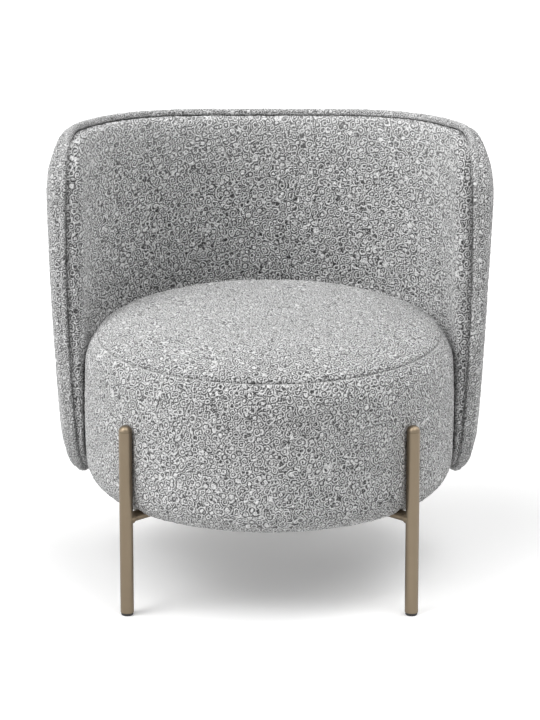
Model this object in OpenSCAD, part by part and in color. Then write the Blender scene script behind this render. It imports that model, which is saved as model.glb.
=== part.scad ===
// Upholstered tub chair: a round padded seat drum with a wrap-around padded back shell and
// four metal legs that stand outside the upholstery. Millimetres, +Z up, front towards -Y.
// The origin lies on the floor, in the middle of the chair's width and depth.

/* [Seat] */
// Width of the round seat over its side cover
seat_d = 608; // [540:2:680]
// Height of the lowest point of the seat's rolled bottom edge
seat_bottom_h = 158; // [130:1:200]
// Height of the seam between the top cover and the side cover
seat_seam_h = 411; // [380:1:450]
// Rise of the padded seat above its seam
seat_crown = 36; // [15:1:45]
// Radius of the rolled bottom edge
seat_roll_r = 49; // [38:1:60]
// Radius of the padded shoulder between the side and the seam
seat_shoulder_r = 60; // [45:1:75]
// Inset of the seam from the seat's side
seam_inset = 13; // [9:1:18]
// Depth by which the rolled edge hangs below the base board
seat_lip_h = 20; // [16:1:24]
// Swell of the side between the rolls
seat_barrel = 2; // [1:0.5:4]
// Thickness of the curly cover fabric, loops included
cover_t = 5; // [3:0.5:6]
// Depth of the sewn crease at a seam
crease_depth = 3; // [1:0.5:5]

/* [Seat frame] */
// Thickness of the foam around the seat frame
side_foam_t = 29; // [20:1:36]
// Thickness of the seat pad at its edge
pad_edge_t = 47; // [35:1:60]
// Thickness of the base board and of the top ring
board_t = 18; // [12:1:25]
// Width of the top ring
ring_w = 52; // [40:1:80]
// Number of posts between the base board and the top ring
post_count = 6; // [6:6:12]
// Width of a post along the rim
post_w = 60; // [40:1:80]
// Depth of a post towards the middle
post_depth = 38; // [30:1:45]
// Width of a webbing strap
strap_w = 60; // [40:1:70]
// Thickness of a webbing strap
strap_t = 2; // [1:0.5:3]
// Spacing between neighbouring webbing straps
strap_pitch = 125; // [100:1:150]
// Thickness of the dust cover under the seat
dust_cover_t = 0.8; // [0.5:0.1:1.5]

/* [Back shell] */
// Height of the back's seam line above the floor at its two front ends
back_edge_h = 728; // [660:2:800]
// Height of the seam line's lower run at the two front ends
back_bottom_h = 159; // [140:1:190]
// Radius of the back's four rounded corners
back_corner_r = 100; // [70:1:120]
// Angle from the middle of the back to each front end
back_wrap = 90; // [75:1:100]
// Backward lean of the back above the seat
back_lean = 6.7; // [3:0.1:12]
// Height at which the lean sets in
lean_start_h = 394; // [360:1:440]
// Height over which the lean sets in
lean_blend = 66; // [40:1:90]
// Distance of the seam line outside the seat's side
rim_reach = 24; // [18:1:30]
// Sideways flare of the back from bottom to top
back_flare = 2.2; // [0:0.1:4]
// Drawing in of the seam line away from seat height
back_belly = 10; // [0:0.5:14]
// Swell of the outer panel beyond the inner seam line
outer_swell = 35; // [30:1:46]
// Distance over which the inner panel rolls outwards at its edge
inner_roll = 42; // [30:1:55]
// Distance over which the outer panel rolls in at its edge
outer_roll = 34; // [24:1:45]
// Thickness of the bent plywood shell
ply_t = 12; // [9:0.5:15]
// Distance of the plywood from the seat's side
ply_gap = 18; // [15:0.5:20]
// Distance of the plywood's edge inside the seam line
ply_inset = 20; // [16:1:30]
// Diameter of the piping in the seam
piping_d = 13; // [9:0.5:16]

/* [Legs] */
// Height of a leg with its glide
leg_h = 322; // [270:1:360]
// Diameter of a leg tube
leg_d = 22; // [18:1:28]
// Wall of the leg tube
leg_wall = 2; // [1.5:0.1:3]
// Height of the domed cap on a leg
cap_h = 10; // [7:0.5:14]
// Diameter of the arm that carries a leg
arm_d = 17; // [12:0.5:18]
// Length of a weld fillet along the arm
weld_w = 8; // [4:0.5:12]
// Depth by which the front legs press into the cover
leg_press = 1.5; // [0:0.5:4]
// Angle of the front legs from the front
front_leg_angle = 47.2; // [35:0.1:60]
// Angle of the rear legs from the middle of the back
rear_leg_angle = 32; // [20:1:36]
// Height of the black glide below the tube
glide_h = 5; // [3:0.5:8]
// Diameter of the glide's foot
glide_d = 20; // [16:0.5:22]
// Thickness of a leg's mounting plate
plate_t = 4; // [3:0.5:6]
// Length of a mounting plate along the arm
plate_l = 76; // [60:1:100]
// Width of a mounting plate
plate_w = 64; // [50:1:80]
// Clearance between a mounting plate's corner and the rolled edge
plate_rim_gap = 3; // [1:0.5:20]

/* [Fasteners] */
// Diameter of a plate screw
screw_d = 5; // [4:0.5:6]
// Diameter of a plate screw's head
screw_head_d = 10; // [8:0.5:12]
// Height of a plate screw's head
screw_head_h = 3; // [2:0.5:4]
// Depth of a plate screw in the base board
screw_bite = 14; // [10:0.5:16]
// Inset of a plate screw from the plate's edges
screw_inset = 10; // [8:0.5:12]
// Diameter of a back bolt
bolt_d = 8; // [6:1:10]
// Diameter of a back bolt's head
bolt_head_d = 18; // [14:1:20]
// Height of a back bolt's head
bolt_head_h = 5; // [4:0.5:7]
// Diameter of a spacer between the seat frame and the back
spacer_d = 20; // [16:1:24]

/* [Hidden] */
LEG_NAMES = ["front_left", "front_right", "rear_left", "rear_right"];
LEG_PIECES = ["leg_tube_", "leg_cap_", "leg_arm_", "leg_plate_", "leg_glide_"];

// Colours as the photograph shows them
boucle = [0.72, 0.72, 0.73];
satin_bronze = [0.56, 0.51, 0.43];
foam_cream = [0.93, 0.90, 0.80];
birch = [0.82, 0.70, 0.52];
black = [0.08, 0.08, 0.08];
zinc = [0.72, 0.73, 0.75];

// Clearance between pieces that lie against each other
fit_gap = 0.3;
// Overrun of every cut past the faces that it opens
cut_over = 2;
// Running clearance round a fastener
hole_gap = 0.2;
// Smoothness of round pieces
round_fn = 72;

// Seat, worked out from its outline
seat_r = seat_d / 2;
side_r = seat_r - seat_barrel;
seam_r = seat_r - seam_inset;
frame_r = seat_r - cover_t - side_foam_t;
board_z = seat_bottom_h + seat_lip_h;
pad_z = seat_seam_h - pad_edge_t;
ring_z = pad_z - 2 * strap_t - board_t;
roll_centre_z = seat_bottom_h + seat_roll_r;
shoulder_centre_r = side_r - seat_shoulder_r;
shoulder_angle = acos((seam_r - shoulder_centre_r) / seat_shoulder_r);
shoulder_z = seat_seam_h - seat_shoulder_r * sin(shoulder_angle);
lip_r = side_r - seat_roll_r;
crown_power_share = 5.5;
crown_steps = 14;
arc_steps = 10;

// Back, worked out from the seat
rim_r = seat_r + rim_reach;
inner_r = seat_r + 2 * fit_gap;
ply_in_r = seat_r + ply_gap;
ply_out_r = ply_in_r + ply_t;
half_run = rim_r * back_wrap * PI / 180;
half_rise = (back_edge_h - back_bottom_h) / 2;
piping_r = piping_d / 2;
piping_out = piping_r - fit_gap;
belly_h = (back_edge_h - back_bottom_h) / 2;

// Legs, worked out from the seat
leg_r = leg_d / 2;
arm_r = arm_d / 2;
plate_place_r = sqrt(pow(lip_r - seat_lip_h - plate_rim_gap, 2) - pow(plate_w / 2, 2)) - plate_l / 2;
plate_z = board_z - dust_cover_t - plate_t;
arm_z = plate_z - arm_r;
front_leg_place_r = seat_r + leg_r - leg_press;
cap_z = leg_h - cap_h;
back_rise_h = arm_z + arm_r + piping_d + 2 * fit_gap;

// Share of the way round to the front end at which the lower edge leaves and reaches its levels
arch_start_share = 0.3;
arch_end_share = 0.95;

// Where the posts with back bolts stand, as angles from the middle of the back,
// and the shares of a post's height at which its two bolts lie
bolt_angles = [0, 60, -60];
bolt_height_shares = [0.23, 0.78];
post_z = board_z + board_t;
bolt_heights = [for (s = bolt_height_shares) post_z + s * (ring_z - post_z)];

// Shares of the half height at which the back's rows lie
row_shares = [0, 0.3, 0.55, 0.75, 0.87, 0.94, 0.98, 1];
rows = concat([for (i = [len(row_shares) - 1 : -1 : 1]) -row_shares[i]], row_shares);
// Number of steps round a corner and between the corners
corner_steps = 6;
middle_steps = 18;
quarter_turn = 90;

function smooth_step(t) = let (c = min(1, max(0, t))) c * c * (3 - 2 * c);
function polar_point(r, a) = [r * sin(a), r * cos(a)];

// Height of the back's lower and upper seam line at an angle from the middle of the back
function back_low(a) = back_bottom_h + (back_rise_h - back_bottom_h)
    * (1 - smooth_step((abs(a) / back_wrap - arch_start_share) / (arch_end_share - arch_start_share)));
function back_high(a) = back_edge_h - rim_r * (cos(a) - cos(back_wrap)) * tan(back_lean);

// Backward offset and drawn radius of the back at a height
function lean_y(z) = tan(back_lean) * lean_blend * ln(1 + exp((z - lean_start_h) / lean_blend));
function flare(z) = tan(back_flare) * (z - seat_seam_h) - back_belly * pow((z - seat_seam_h) / belly_h, 2);

// Distance inside the back's rounded outline, in the flattened panel
function inside(u, v) = let (
        x = abs(u) - (half_run - back_corner_r),
        y = abs(v) - (half_rise - back_corner_r))
    back_corner_r - (x > 0 && y > 0 ? norm([x, y]) : max(x, y));

// A point of the back: run u along the seam radius, rise v from mid height, radius r
function back_point(u, v, r) = let (
        a = u / rim_r * 180 / PI,
        z = back_low(a) + (v + half_rise) / (2 * half_rise) * (back_high(a) - back_low(a)))
    [r * sin(a), lean_y(z) + r * cos(a), z];
function back_z(u, v) = back_point(u, v, rim_r)[2];

// Share of a rounded edge that is left at distance d, over the roll's width
function edge_share(d, w) = let (t = 1 - min(1, max(0, d / w))) 1 - sqrt(1 - t * t);

// Radii of the back's layers at flattened place (u, v)
function inner_face(u, v) = let (rim = rim_r + flare(back_z(u, v)))
    inner_r + (rim - inner_r) * edge_share(inside(u, v), inner_roll);
function outer_face(u, v) = let (rim = rim_r + flare(back_z(u, v)))
    rim + outer_swell - (outer_swell - piping_d) * edge_share(inside(u, v), outer_roll);
function piping_line(u, v) = rim_r + flare(back_z(u, v)) + piping_r;

// Upper limit of a column at run u for an outline drawn in by d
function column_rise(u, d) = let (
        c = back_corner_r - d,
        x = abs(u) - (half_run - back_corner_r))
    half_rise - back_corner_r + (x > 0 ? sqrt(max(0, c * c - x * x)) : c);
function columns(d) = let (
        c = back_corner_r - d,
        straight = half_run - back_corner_r,
        right = [for (i = [1 : corner_steps]) straight + c * sin(quarter_turn * i / corner_steps)])
    concat([for (i = [corner_steps - 1 : -1 : 0]) -right[i]],
        [for (i = [0 : middle_steps]) straight * (2 * i / middle_steps - 1)], right);

// Closed solid between two faces of the back, drawn in by d from the seam line.
// kind picks the faces: "inner_cover", "inner_foam", "ply", "outer_foam" or "outer_cover".
function near_face(kind, u, v) =
    kind == "inner_cover" ? inner_face(u, v)
    : kind == "inner_foam" ? inner_face(u, v) + cover_t + fit_gap
    : kind == "ply" ? ply_in_r
    : kind == "outer_foam" ? ply_out_r + fit_gap
    : outer_face(u, v) - cover_t;
function far_face(kind, u, v) =
    kind == "inner_cover" ? inner_face(u, v) + cover_t
    : kind == "inner_foam" ? max(inner_face(u, v) + cover_t + 2 * fit_gap, ply_in_r - fit_gap)
    : kind == "ply" ? ply_out_r
    : kind == "outer_foam" ? outer_face(u, v) - cover_t - fit_gap
    : outer_face(u, v);

module back_layer(kind, d) {
    cols = columns(d);
    n = len(cols);
    m = len(rows);
    near = [for (u = cols) for (s = rows) let (v = s * column_rise(u, d))
        back_point(u, v, near_face(kind, u, v))];
    far = [for (u = cols) for (s = rows) let (v = s * column_rise(u, d))
        back_point(u, v, far_face(kind, u, v))];
    f = n * m;
    // Each face is a grid of triangles, and a strip round the edge closes the solid
    near_tris = [for (i = [0 : n - 2]) for (j = [0 : m - 2]) let (p = i * m + j)
        each [[p, p + 1, p + m + 1], [p, p + m + 1, p + m]]];
    far_tris = [for (i = [0 : n - 2]) for (j = [0 : m - 2]) let (p = f + i * m + j)
        each [[p, p + m + 1, p + 1], [p, p + m, p + m + 1]]];
    edge = concat([for (j = [0 : m - 1]) j], [for (i = [1 : n - 1]) i * m + m - 1],
        [for (j = [m - 2 : -1 : 0]) (n - 1) * m + j], [for (i = [n - 2 : -1 : 1]) i * m]);
    e = len(edge);
    edge_tris = [for (k = [0 : e - 1]) let (p = edge[k], q = edge[(k + 1) % e])
        each [[p, f + p, q], [q, f + p, f + q]]];
    polyhedron(concat(near, far), concat(near_tris, far_tris, edge_tris), convexity = 8);
}

// Places round the seam line as flattened place and outward direction
function rim_places() = let (
        run = half_run - back_corner_r,
        rise = half_rise - back_corner_r,
        corner = [for (i = [0 : corner_steps]) quarter_turn * i / corner_steps],
        across = [for (i = [1 : middle_steps - 1]) run * (1 - 2 * i / middle_steps)],
        down = [for (s = [0.6, 0.2, -0.2, -0.6]) rise * s])
    concat(
        [for (a = corner) [run + back_corner_r * cos(a), rise + back_corner_r * sin(a), cos(a), sin(a)]],
        [for (u = across) [u, half_rise, 0, 1]],
        [for (a = corner) [-run - back_corner_r * sin(a), rise + back_corner_r * cos(a), -sin(a), cos(a)]],
        [for (v = down) [-half_run, v, -1, 0]],
        [for (a = corner) [-run - back_corner_r * cos(a), -rise - back_corner_r * sin(a), -cos(a), -sin(a)]],
        [for (u = across) [-u, -half_rise, 0, -1]],
        [for (a = corner) [run + back_corner_r * sin(a), -rise - back_corner_r * cos(a), sin(a), -cos(a)]],
        [for (v = down) [half_run, -v, 1, 0]]);

// Faces of a closed tube with n rings of k points
function ring_faces(n, k) = [for (i = [0 : n - 1]) for (j = [0 : k - 1]) let (
        a = i * k + j, b = i * k + (j + 1) % k,
        c = ((i + 1) % n) * k + (j + 1) % k, d = ((i + 1) % n) * k + j)
    each [[a, b, c], [a, c, d]]];

// Outline of the seat drawn in by o: the rolled lip, the bottom roll and the side up to the seam
function arc_points(cx, cz, r, a0, a1, n) =
    [for (i = [0 : n]) let (a = a0 + (a1 - a0) * i / n) [cx + r * cos(a), cz + r * sin(a)]];
function lip_arc(o) = arc_points(lip_r, board_z, seat_lip_h - o, 180, 270, arc_steps);
function roll_arc(o) = arc_points(lip_r, roll_centre_z, seat_roll_r - o, 270, 360, arc_steps);
function side_run(o) = [for (i = [1 : arc_steps - 1]) let (t = i / arc_steps)
    [side_r - o + seat_barrel * sin(180 * t), roll_centre_z + (shoulder_z - roll_centre_z) * t]];
function shoulder_arc(o) =
    arc_points(shoulder_centre_r, shoulder_z, seat_shoulder_r - o, 0, shoulder_angle, arc_steps);
function crown_z(r) = seat_seam_h + seat_crown * (1 - pow(r / seam_r, crown_power_share));
function crown_run(r_max, drop) =
    [for (i = [crown_steps : -1 : 0]) let (r = r_max * i / crown_steps) [r, crown_z(r) - drop]];

// Lowest inner corner of the top cover, where it is sewn to the side cover
edge_r = seam_r - crease_depth - cover_t;
edge_z = seat_seam_h - crease_depth - cover_t;
// Underside of the top cover inside that corner, from the seam inwards
function under_crown(drop) =
    [for (i = [crown_steps - 1 : -1 : 0]) let (r = edge_r * i / crown_steps) [r, crown_z(r) - drop]];

// Depth of the chair, from the seat's front to the back's rearmost point
rear_y = max(concat([for (s = rows) back_point(0, s * half_rise, outer_face(0, s * half_rise))[1]],
    [back_point(0, half_rise + piping_out, piping_line(0, half_rise) + piping_r)[1]]));
front_y = -seat_r;
centre_y = (rear_y + front_y) / 2;

// Legs stand outside the upholstery: the front ones at the seat, the rear ones at the back's outer panel
rear_leg_place_r = rim_r + flare(cap_z) + outer_swell + lean_y(cap_z) * cos(rear_leg_angle) + leg_r + fit_gap;
function leg_is_rear(i) = i >= 2;
function leg_side(i) = i % 2 == 0 ? -1 : 1;
function leg_angle(i) = leg_side(i) * (leg_is_rear(i) ? rear_leg_angle : 180 - front_leg_angle);
function leg_place_r(i) = leg_is_rear(i) ? rear_leg_place_r : front_leg_place_r;

// Turns a piece drawn along +X so that it points away from the seat's middle at an angle from the rear
module outward(a) rotate([0, 0, 90 - a]) children();

module arm_axis(i, from_r, to_r, r) {
    outward(leg_angle(i)) translate([from_r, 0, arm_z]) rotate([0, 90, 0])
        cylinder(r = r, h = to_r - from_r, $fn = round_fn);
}

module arm_notches() {
    for (i = [0 : 3]) arm_axis(i, plate_place_r, seat_r + leg_d, arm_r + fit_gap);
}

module front_leg_hollows() {
    for (i = [0, 1]) outward(leg_angle(i)) translate([front_leg_place_r, 0, 0])
        cylinder(r = leg_r + fit_gap, h = leg_h + fit_gap, $fn = round_fn);
}

// Children run outwards from the seat's middle; $set_back is how far the lean moves the back there
module back_bolt_places() {
    for (a = bolt_angles, z = bolt_heights) {
        $set_back = lean_y(z) * cos(a);
        outward(a) translate([0, 0, z]) rotate([0, 90, 0]) children();
    }
}

module spacer_holes(from_r, to_r) {
    back_bolt_places() translate([0, 0, from_r])
        cylinder(d = spacer_d + 2 * hole_gap, h = to_r - from_r, $fn = round_fn);
}

module screw_places() {
    for (i = [0 : 3]) outward(leg_angle(i)) plate_corner_places() children();
}

module plate_corner_places() {
    for (x = [-1, 1], y = [-1, 1])
        translate([plate_place_r + x * (plate_l / 2 - screw_inset), y * (plate_w / 2 - screw_inset), 0])
            children();
}

module screw_holes(z0, z1) {
    screw_places() translate([0, 0, z0])
        cylinder(d = screw_d + 2 * hole_gap, h = z1 - z0, $fn = round_fn);
}

// Seat frame

module base_board() {
    color(birch) difference() {
        translate([0, 0, board_z]) cylinder(r = frame_r, h = board_t, $fn = round_fn);
        screw_holes(board_z - cut_over, board_z + screw_bite + hole_gap);
    }
}

module post(k) {
    a = 360 * (k - 1) / post_count;
    color(birch) difference() {
        intersection() {
            translate([0, 0, post_z]) cylinder(r = frame_r, h = ring_z - post_z, $fn = round_fn);
            outward(a) translate([frame_r - post_depth, -post_w / 2, 0])
                cube([post_depth + cut_over, post_w, ring_z]);
        }
        back_bolt_places() cylinder(d = bolt_d + 2 * hole_gap, h = seat_r, $fn = round_fn);
    }
}

module top_ring() {
    color(birch) translate([0, 0, ring_z]) difference() {
        cylinder(r = frame_r, h = board_t, $fn = round_fn);
        translate([0, 0, -cut_over])
            cylinder(r = frame_r - ring_w, h = board_t + 2 * cut_over, $fn = round_fn);
    }
}

// One layer of three straps, cut off round at the ring's outside
module straps(z) {
    intersection() {
        translate([0, 0, z]) cylinder(r = frame_r - fit_gap, h = strap_t, $fn = round_fn);
        for (k = [-1 : 1]) translate([-frame_r, k * strap_pitch - strap_w / 2, z])
            cube([2 * frame_r, strap_w, strap_t]);
    }
}

module webbing_lengthwise() {
    color(black) rotate([0, 0, 90]) straps(ring_z + board_t);
}

module webbing_crosswise() {
    color(black) straps(ring_z + board_t + strap_t);
}

// Seat padding and covers

module seat_pad() {
    o = cover_t + fit_gap;
    outline = concat(
        [[0, pad_z], [side_r - o, pad_z]],
        [for (p = side_run(o)) if (p[1] > pad_z) p],
        [for (p = shoulder_arc(o)) if (p[1] > pad_z && p[1] < edge_z - fit_gap) p],
        [[edge_r - fit_gap, edge_z - fit_gap]], under_crown(o));
    color(foam_cream) rotate_extrude($fn = round_fn) polygon(outline);
}

module seat_side_foam() {
    o = cover_t + fit_gap;
    outline = concat(
        [[frame_r + fit_gap, pad_z - fit_gap], [frame_r + fit_gap, board_z - fit_gap]],
        lip_arc(o), roll_arc(o),
        [for (p = side_run(o)) if (p[1] < pad_z - fit_gap) p],
        [[side_r - o, pad_z - fit_gap]]);
    color(foam_cream) difference() {
        rotate_extrude($fn = round_fn) polygon(outline);
        arm_notches();
        spacer_holes(frame_r - cut_over, seat_r + cut_over);
    }
}

module seat_top_cover() {
    under = under_crown(cover_t);
    outline = concat(
        [[edge_r, edge_z], [seam_r - crease_depth, seat_seam_h - crease_depth]], crown_run(seam_r, 0),
        [for (i = [len(under) - 1 : -1 : 0]) under[i]]);
    color(boucle) rotate_extrude($fn = round_fn) polygon(outline);
}

module seat_side_cover() {
    outer = concat(lip_arc(0), roll_arc(0), side_run(0), shoulder_arc(0));
    inner = concat(lip_arc(cover_t), roll_arc(cover_t), side_run(cover_t), shoulder_arc(cover_t));
    outline = concat(outer, [[seam_r - crease_depth, seat_seam_h - crease_depth]],
        [for (i = [len(inner) - 1 : -1 : 0]) inner[i]]);
    color(boucle) difference() {
        rotate_extrude($fn = round_fn) polygon(outline);
        arm_notches();
        front_leg_hollows();
        spacer_holes(frame_r, seat_r + cut_over);
    }
}

module dust_cover() {
    color(black) difference() {
        translate([0, 0, board_z - dust_cover_t])
            cylinder(r = lip_r - seat_lip_h - fit_gap, h = dust_cover_t, $fn = round_fn);
        screw_holes(board_z - dust_cover_t - cut_over, board_z + cut_over);
    }
}

// Back shell

module back_shell() {
    color(birch) difference() {
        back_layer("ply", ply_inset);
        back_bolt_places() translate([0, 0, frame_r])
            cylinder(d = bolt_d + 2 * hole_gap, h = ply_out_r, $fn = round_fn);
    }
}

module back_inner_foam() {
    color(foam_cream) difference() {
        back_layer("inner_foam", cover_t);
        spacer_holes(seat_r - cut_over, ply_in_r + cut_over);
    }
}

module back_outer_foam() {
    color(foam_cream) back_layer("outer_foam", cover_t);
}

module back_inner_cover() {
    color(boucle) difference() {
        back_layer("inner_cover", 0);
        spacer_holes(seat_r - cut_over, ply_in_r);
    }
}

module back_outer_cover() {
    color(boucle) back_layer("outer_cover", 0);
}

module back_piping() {
    k = 8;
    places = rim_places();
    points = [for (p = places) for (j = [0 : k - 1]) let (
            e = piping_out + piping_r * cos(360 * j / k),
            r = piping_line(p[0], p[1]) + piping_r * sin(360 * j / k))
        back_point(p[0] + e * p[2], p[1] + e * p[3], r)];
    color(boucle) polyhedron(points, ring_faces(len(places), k), convexity = 8);
}

module back_spacers() {
    color(zinc) back_bolt_places() difference() {
        translate([0, 0, frame_r])
            cylinder(d = spacer_d, h = ply_in_r + $set_back - fit_gap - frame_r, $fn = round_fn);
        cylinder(d = bolt_d + 2 * hole_gap, h = ply_out_r, $fn = round_fn);
    }
}

module back_bolts() {
    color(zinc) back_bolt_places() {
        translate([0, 0, frame_r - post_depth - bolt_head_h])
            cylinder(d = bolt_head_d, h = bolt_head_h, $fn = round_fn);
        translate([0, 0, frame_r - post_depth - bolt_head_h])
            cylinder(d = bolt_d, h = ply_out_r + $set_back - fit_gap - frame_r + post_depth + bolt_head_h,
                $fn = round_fn);
    }
}

// Legs

module leg_tube(i) {
    color(satin_bronze) outward(leg_angle(i)) translate([leg_place_r(i), 0, glide_h]) difference() {
        cylinder(r = leg_r, h = cap_z - glide_h, $fn = round_fn);
        translate([0, 0, -cut_over])
            cylinder(r = leg_r - leg_wall, h = cap_z - glide_h + 2 * cut_over, $fn = round_fn);
    }
}

module leg_cap(i) {
    plug_r = leg_r - leg_wall - hole_gap;
    dome = concat([[0, -cap_h], [plug_r, -cap_h], [plug_r, 0]],
        [for (t = [0 : arc_steps]) let (a = quarter_turn * t / arc_steps) [leg_r * cos(a), cap_h * sin(a)]]);
    color(satin_bronze) outward(leg_angle(i)) translate([leg_place_r(i), 0, cap_z])
        rotate_extrude($fn = round_fn) polygon(dome);
}

// The arm runs from the tube to the far edge of its plate, with a weld fillet round it at the tube
module leg_arm(i) {
    far_r = plate_place_r - plate_l / 2;
    run = leg_place_r(i) - far_r;
    weld_h = leg_r - arm_r;
    weld = concat([[0, run]], [[leg_r, run]],
        [for (t = [0 : arc_steps]) let (a = quarter_turn * t / arc_steps)
            [arm_r + weld_h * (1 - sin(a)), run - leg_r - weld_w * (1 - cos(a))]],
        [[0, run - leg_r - weld_w]]);
    color(satin_bronze) outward(leg_angle(i)) difference() {
        translate([far_r, 0, arm_z]) rotate([0, 90, 0]) union() {
            cylinder(r = arm_r, h = run, $fn = round_fn);
            rotate_extrude($fn = round_fn) polygon(weld);
        }
        translate([leg_place_r(i), 0, arm_z - leg_d])
            cylinder(r = leg_r, h = 2 * leg_d, $fn = round_fn);
        translate([leg_place_r(i), -leg_d, arm_z - leg_d])
            cube([leg_d, 2 * leg_d, 2 * leg_d]);
    }
}

module leg_plate(i) {
    color(satin_bronze) outward(leg_angle(i)) difference() {
        translate([plate_place_r - plate_l / 2, -plate_w / 2, plate_z])
            cube([plate_l, plate_w, plate_t]);
        plate_corner_places() translate([0, 0, plate_z - cut_over])
            cylinder(d = screw_d + 2 * hole_gap, h = plate_t + 2 * cut_over, $fn = round_fn);
    }
}

module leg_glide(i) {
    stem_r = leg_r - leg_wall - hole_gap;
    chamfer = glide_h / 4;
    outline = [[0, 0], [glide_d / 2 - chamfer, 0], [glide_d / 2, chamfer],
        [glide_d / 2, glide_h], [stem_r, glide_h], [stem_r, 4 * glide_h], [0, 4 * glide_h]];
    color(black) outward(leg_angle(i)) translate([leg_place_r(i), 0, 0])
        rotate_extrude($fn = round_fn) polygon(outline);
}

module plate_screws() {
    color(zinc) screw_places() translate([0, 0, plate_z]) {
        translate([0, 0, -screw_head_h]) cylinder(d = screw_head_d, h = screw_head_h, $fn = round_fn);
        translate([0, 0, -screw_head_h])
            cylinder(d = screw_d, h = screw_head_h + plate_t + dust_cover_t + screw_bite, $fn = round_fn);
    }
}

// The chair is drawn round the seat's middle and set over its origin
module placed() translate([0, -centre_y, 0]) children();

placed() base_board();
for (k = [1 : post_count]) {
    placed() post(k);
}
placed() top_ring();
placed() webbing_lengthwise();
placed() webbing_crosswise();
placed() seat_pad();
placed() seat_side_foam();
placed() seat_top_cover();
placed() seat_side_cover();
placed() dust_cover();
placed() back_shell();
placed() back_inner_foam();
placed() back_outer_foam();
placed() back_inner_cover();
placed() back_outer_cover();
placed() back_piping();
placed() back_spacers();
placed() back_bolts();
for (i = [0 : 3]) {
    placed() leg_tube(i);
    placed() leg_cap(i);
    placed() leg_arm(i);
    placed() leg_plate(i);
    placed() leg_glide(i);
}
placed() plate_screws();
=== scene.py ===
"""Upholstered tub chair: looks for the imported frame. Metres, +Z up, front towards -Y."""
import math

import bpy
import numpy as np
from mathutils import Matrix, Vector


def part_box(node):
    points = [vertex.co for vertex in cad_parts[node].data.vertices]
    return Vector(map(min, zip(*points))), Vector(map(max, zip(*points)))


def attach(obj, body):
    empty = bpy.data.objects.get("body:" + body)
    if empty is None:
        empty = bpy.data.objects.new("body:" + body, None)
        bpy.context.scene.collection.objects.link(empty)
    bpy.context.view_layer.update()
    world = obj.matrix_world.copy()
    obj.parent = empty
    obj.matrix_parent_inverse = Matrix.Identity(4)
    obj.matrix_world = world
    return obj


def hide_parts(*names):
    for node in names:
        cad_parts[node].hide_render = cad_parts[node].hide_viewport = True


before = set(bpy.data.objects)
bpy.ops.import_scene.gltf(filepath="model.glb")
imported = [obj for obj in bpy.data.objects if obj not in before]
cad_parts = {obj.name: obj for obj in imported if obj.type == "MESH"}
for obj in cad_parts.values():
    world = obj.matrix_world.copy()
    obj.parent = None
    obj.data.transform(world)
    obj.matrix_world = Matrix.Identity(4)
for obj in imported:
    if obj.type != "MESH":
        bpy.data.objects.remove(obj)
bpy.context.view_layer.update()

# Seat: its radius, middle and lowest point, its pad's underside and its board's radius, from the frame
SIDE_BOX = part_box("seat_side_cover")
SEAT_R = (SIDE_BOX[1].x - SIDE_BOX[0].x) / 2
SEAT_Y = (SIDE_BOX[1].y + SIDE_BOX[0].y) / 2
SEAT_BOTTOM = round(SIDE_BOX[0].z, 4)
PAD_Z = round(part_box("seat_pad")[0].z, 4)
FRAME_R = round(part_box("base_board")[1].x, 4)
# Height of the seam between the top and the side, and how far it lies inside the side
SEAM_Z = 0.4132
SEAM_INSET = 0.0218
# Rise of the top above its seam, how flat its middle is and how round its edge
CROWN = 0.0344
CROWN_POWER = 5.4
CROWN_ROUND = 0.71
# Radii of the rolled bottom edge and of the shoulder, and the swell of the side between them
ROLL_R = 0.049
SHOULDER_R = 0.073
BARREL = 0.002
# Depth by which the rolled edge hangs below the board
LIP = 0.020
# The covers' fold into the seat's seam: its radius, its depth and the way it goes in, in degrees
FOLD_R = 0.0024
FOLD_DEEP = 0.002
FOLD_WAY = 225
SEAM_R = SEAT_R - SEAM_INSET
SIDE_R = SEAT_R - BARREL
LIP_R = SIDE_R - ROLL_R
BOARD_Z = SEAT_BOTTOM + LIP
ROLL_Z = SEAT_BOTTOM + ROLL_R
SHOULDER_MID_R = SIDE_R - SHOULDER_R
SEAM_TILT = math.acos((SEAM_R - SHOULDER_MID_R) / SHOULDER_R)
SHOULDER_Z = SEAM_Z - SHOULDER_R * math.sin(SEAM_TILT)

# Back: heights of its seam line at the front ends, radius of its corners and the angle that each half wraps
EDGE_Z = 0.728
LOW_Z = 0.159
CORNER_R = 0.100
WRAP = math.radians(90)
# Backward lean above the seat, the height where it starts and the height over which it comes in
LEAN = math.tan(math.radians(6.7))
LEAN_Z = 0.394
LEAN_BLEND = 0.066
# Outward flare of the seam line, the height where it is nothing, and how much it draws in above and below
FLARE = math.tan(math.radians(2.2))
FLARE_Z = 0.411
BELLY = 0.010
# Distances from the seat's side to the inner panel, to the plywood and to the seam line
INNER_GAP = 0.0006
PLY_GAP = 0.018
RIM_GAP = 0.024
PLY_THICK = 0.012
PIPING_R = 0.0065
# Swell of the outer panel past the seam line, and the widths over which both panels roll towards the seam
SWELL = 0.035
INNER_ROLL = 0.042
OUTER_ROLL = 0.034
RIM_R = SEAT_R + RIM_GAP
INNER_R = SEAT_R + INNER_GAP
PLY_IN_R = SEAT_R + PLY_GAP
PLY_OUT_R = PLY_IN_R + PLY_THICK
HALF_RUN = RIM_R * WRAP
HALF_RISE = (EDGE_Z - LOW_Z) / 2
STRAIGHT_RUN = HALF_RUN - CORNER_R
STRAIGHT_RISE = HALF_RISE - CORNER_R

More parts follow.
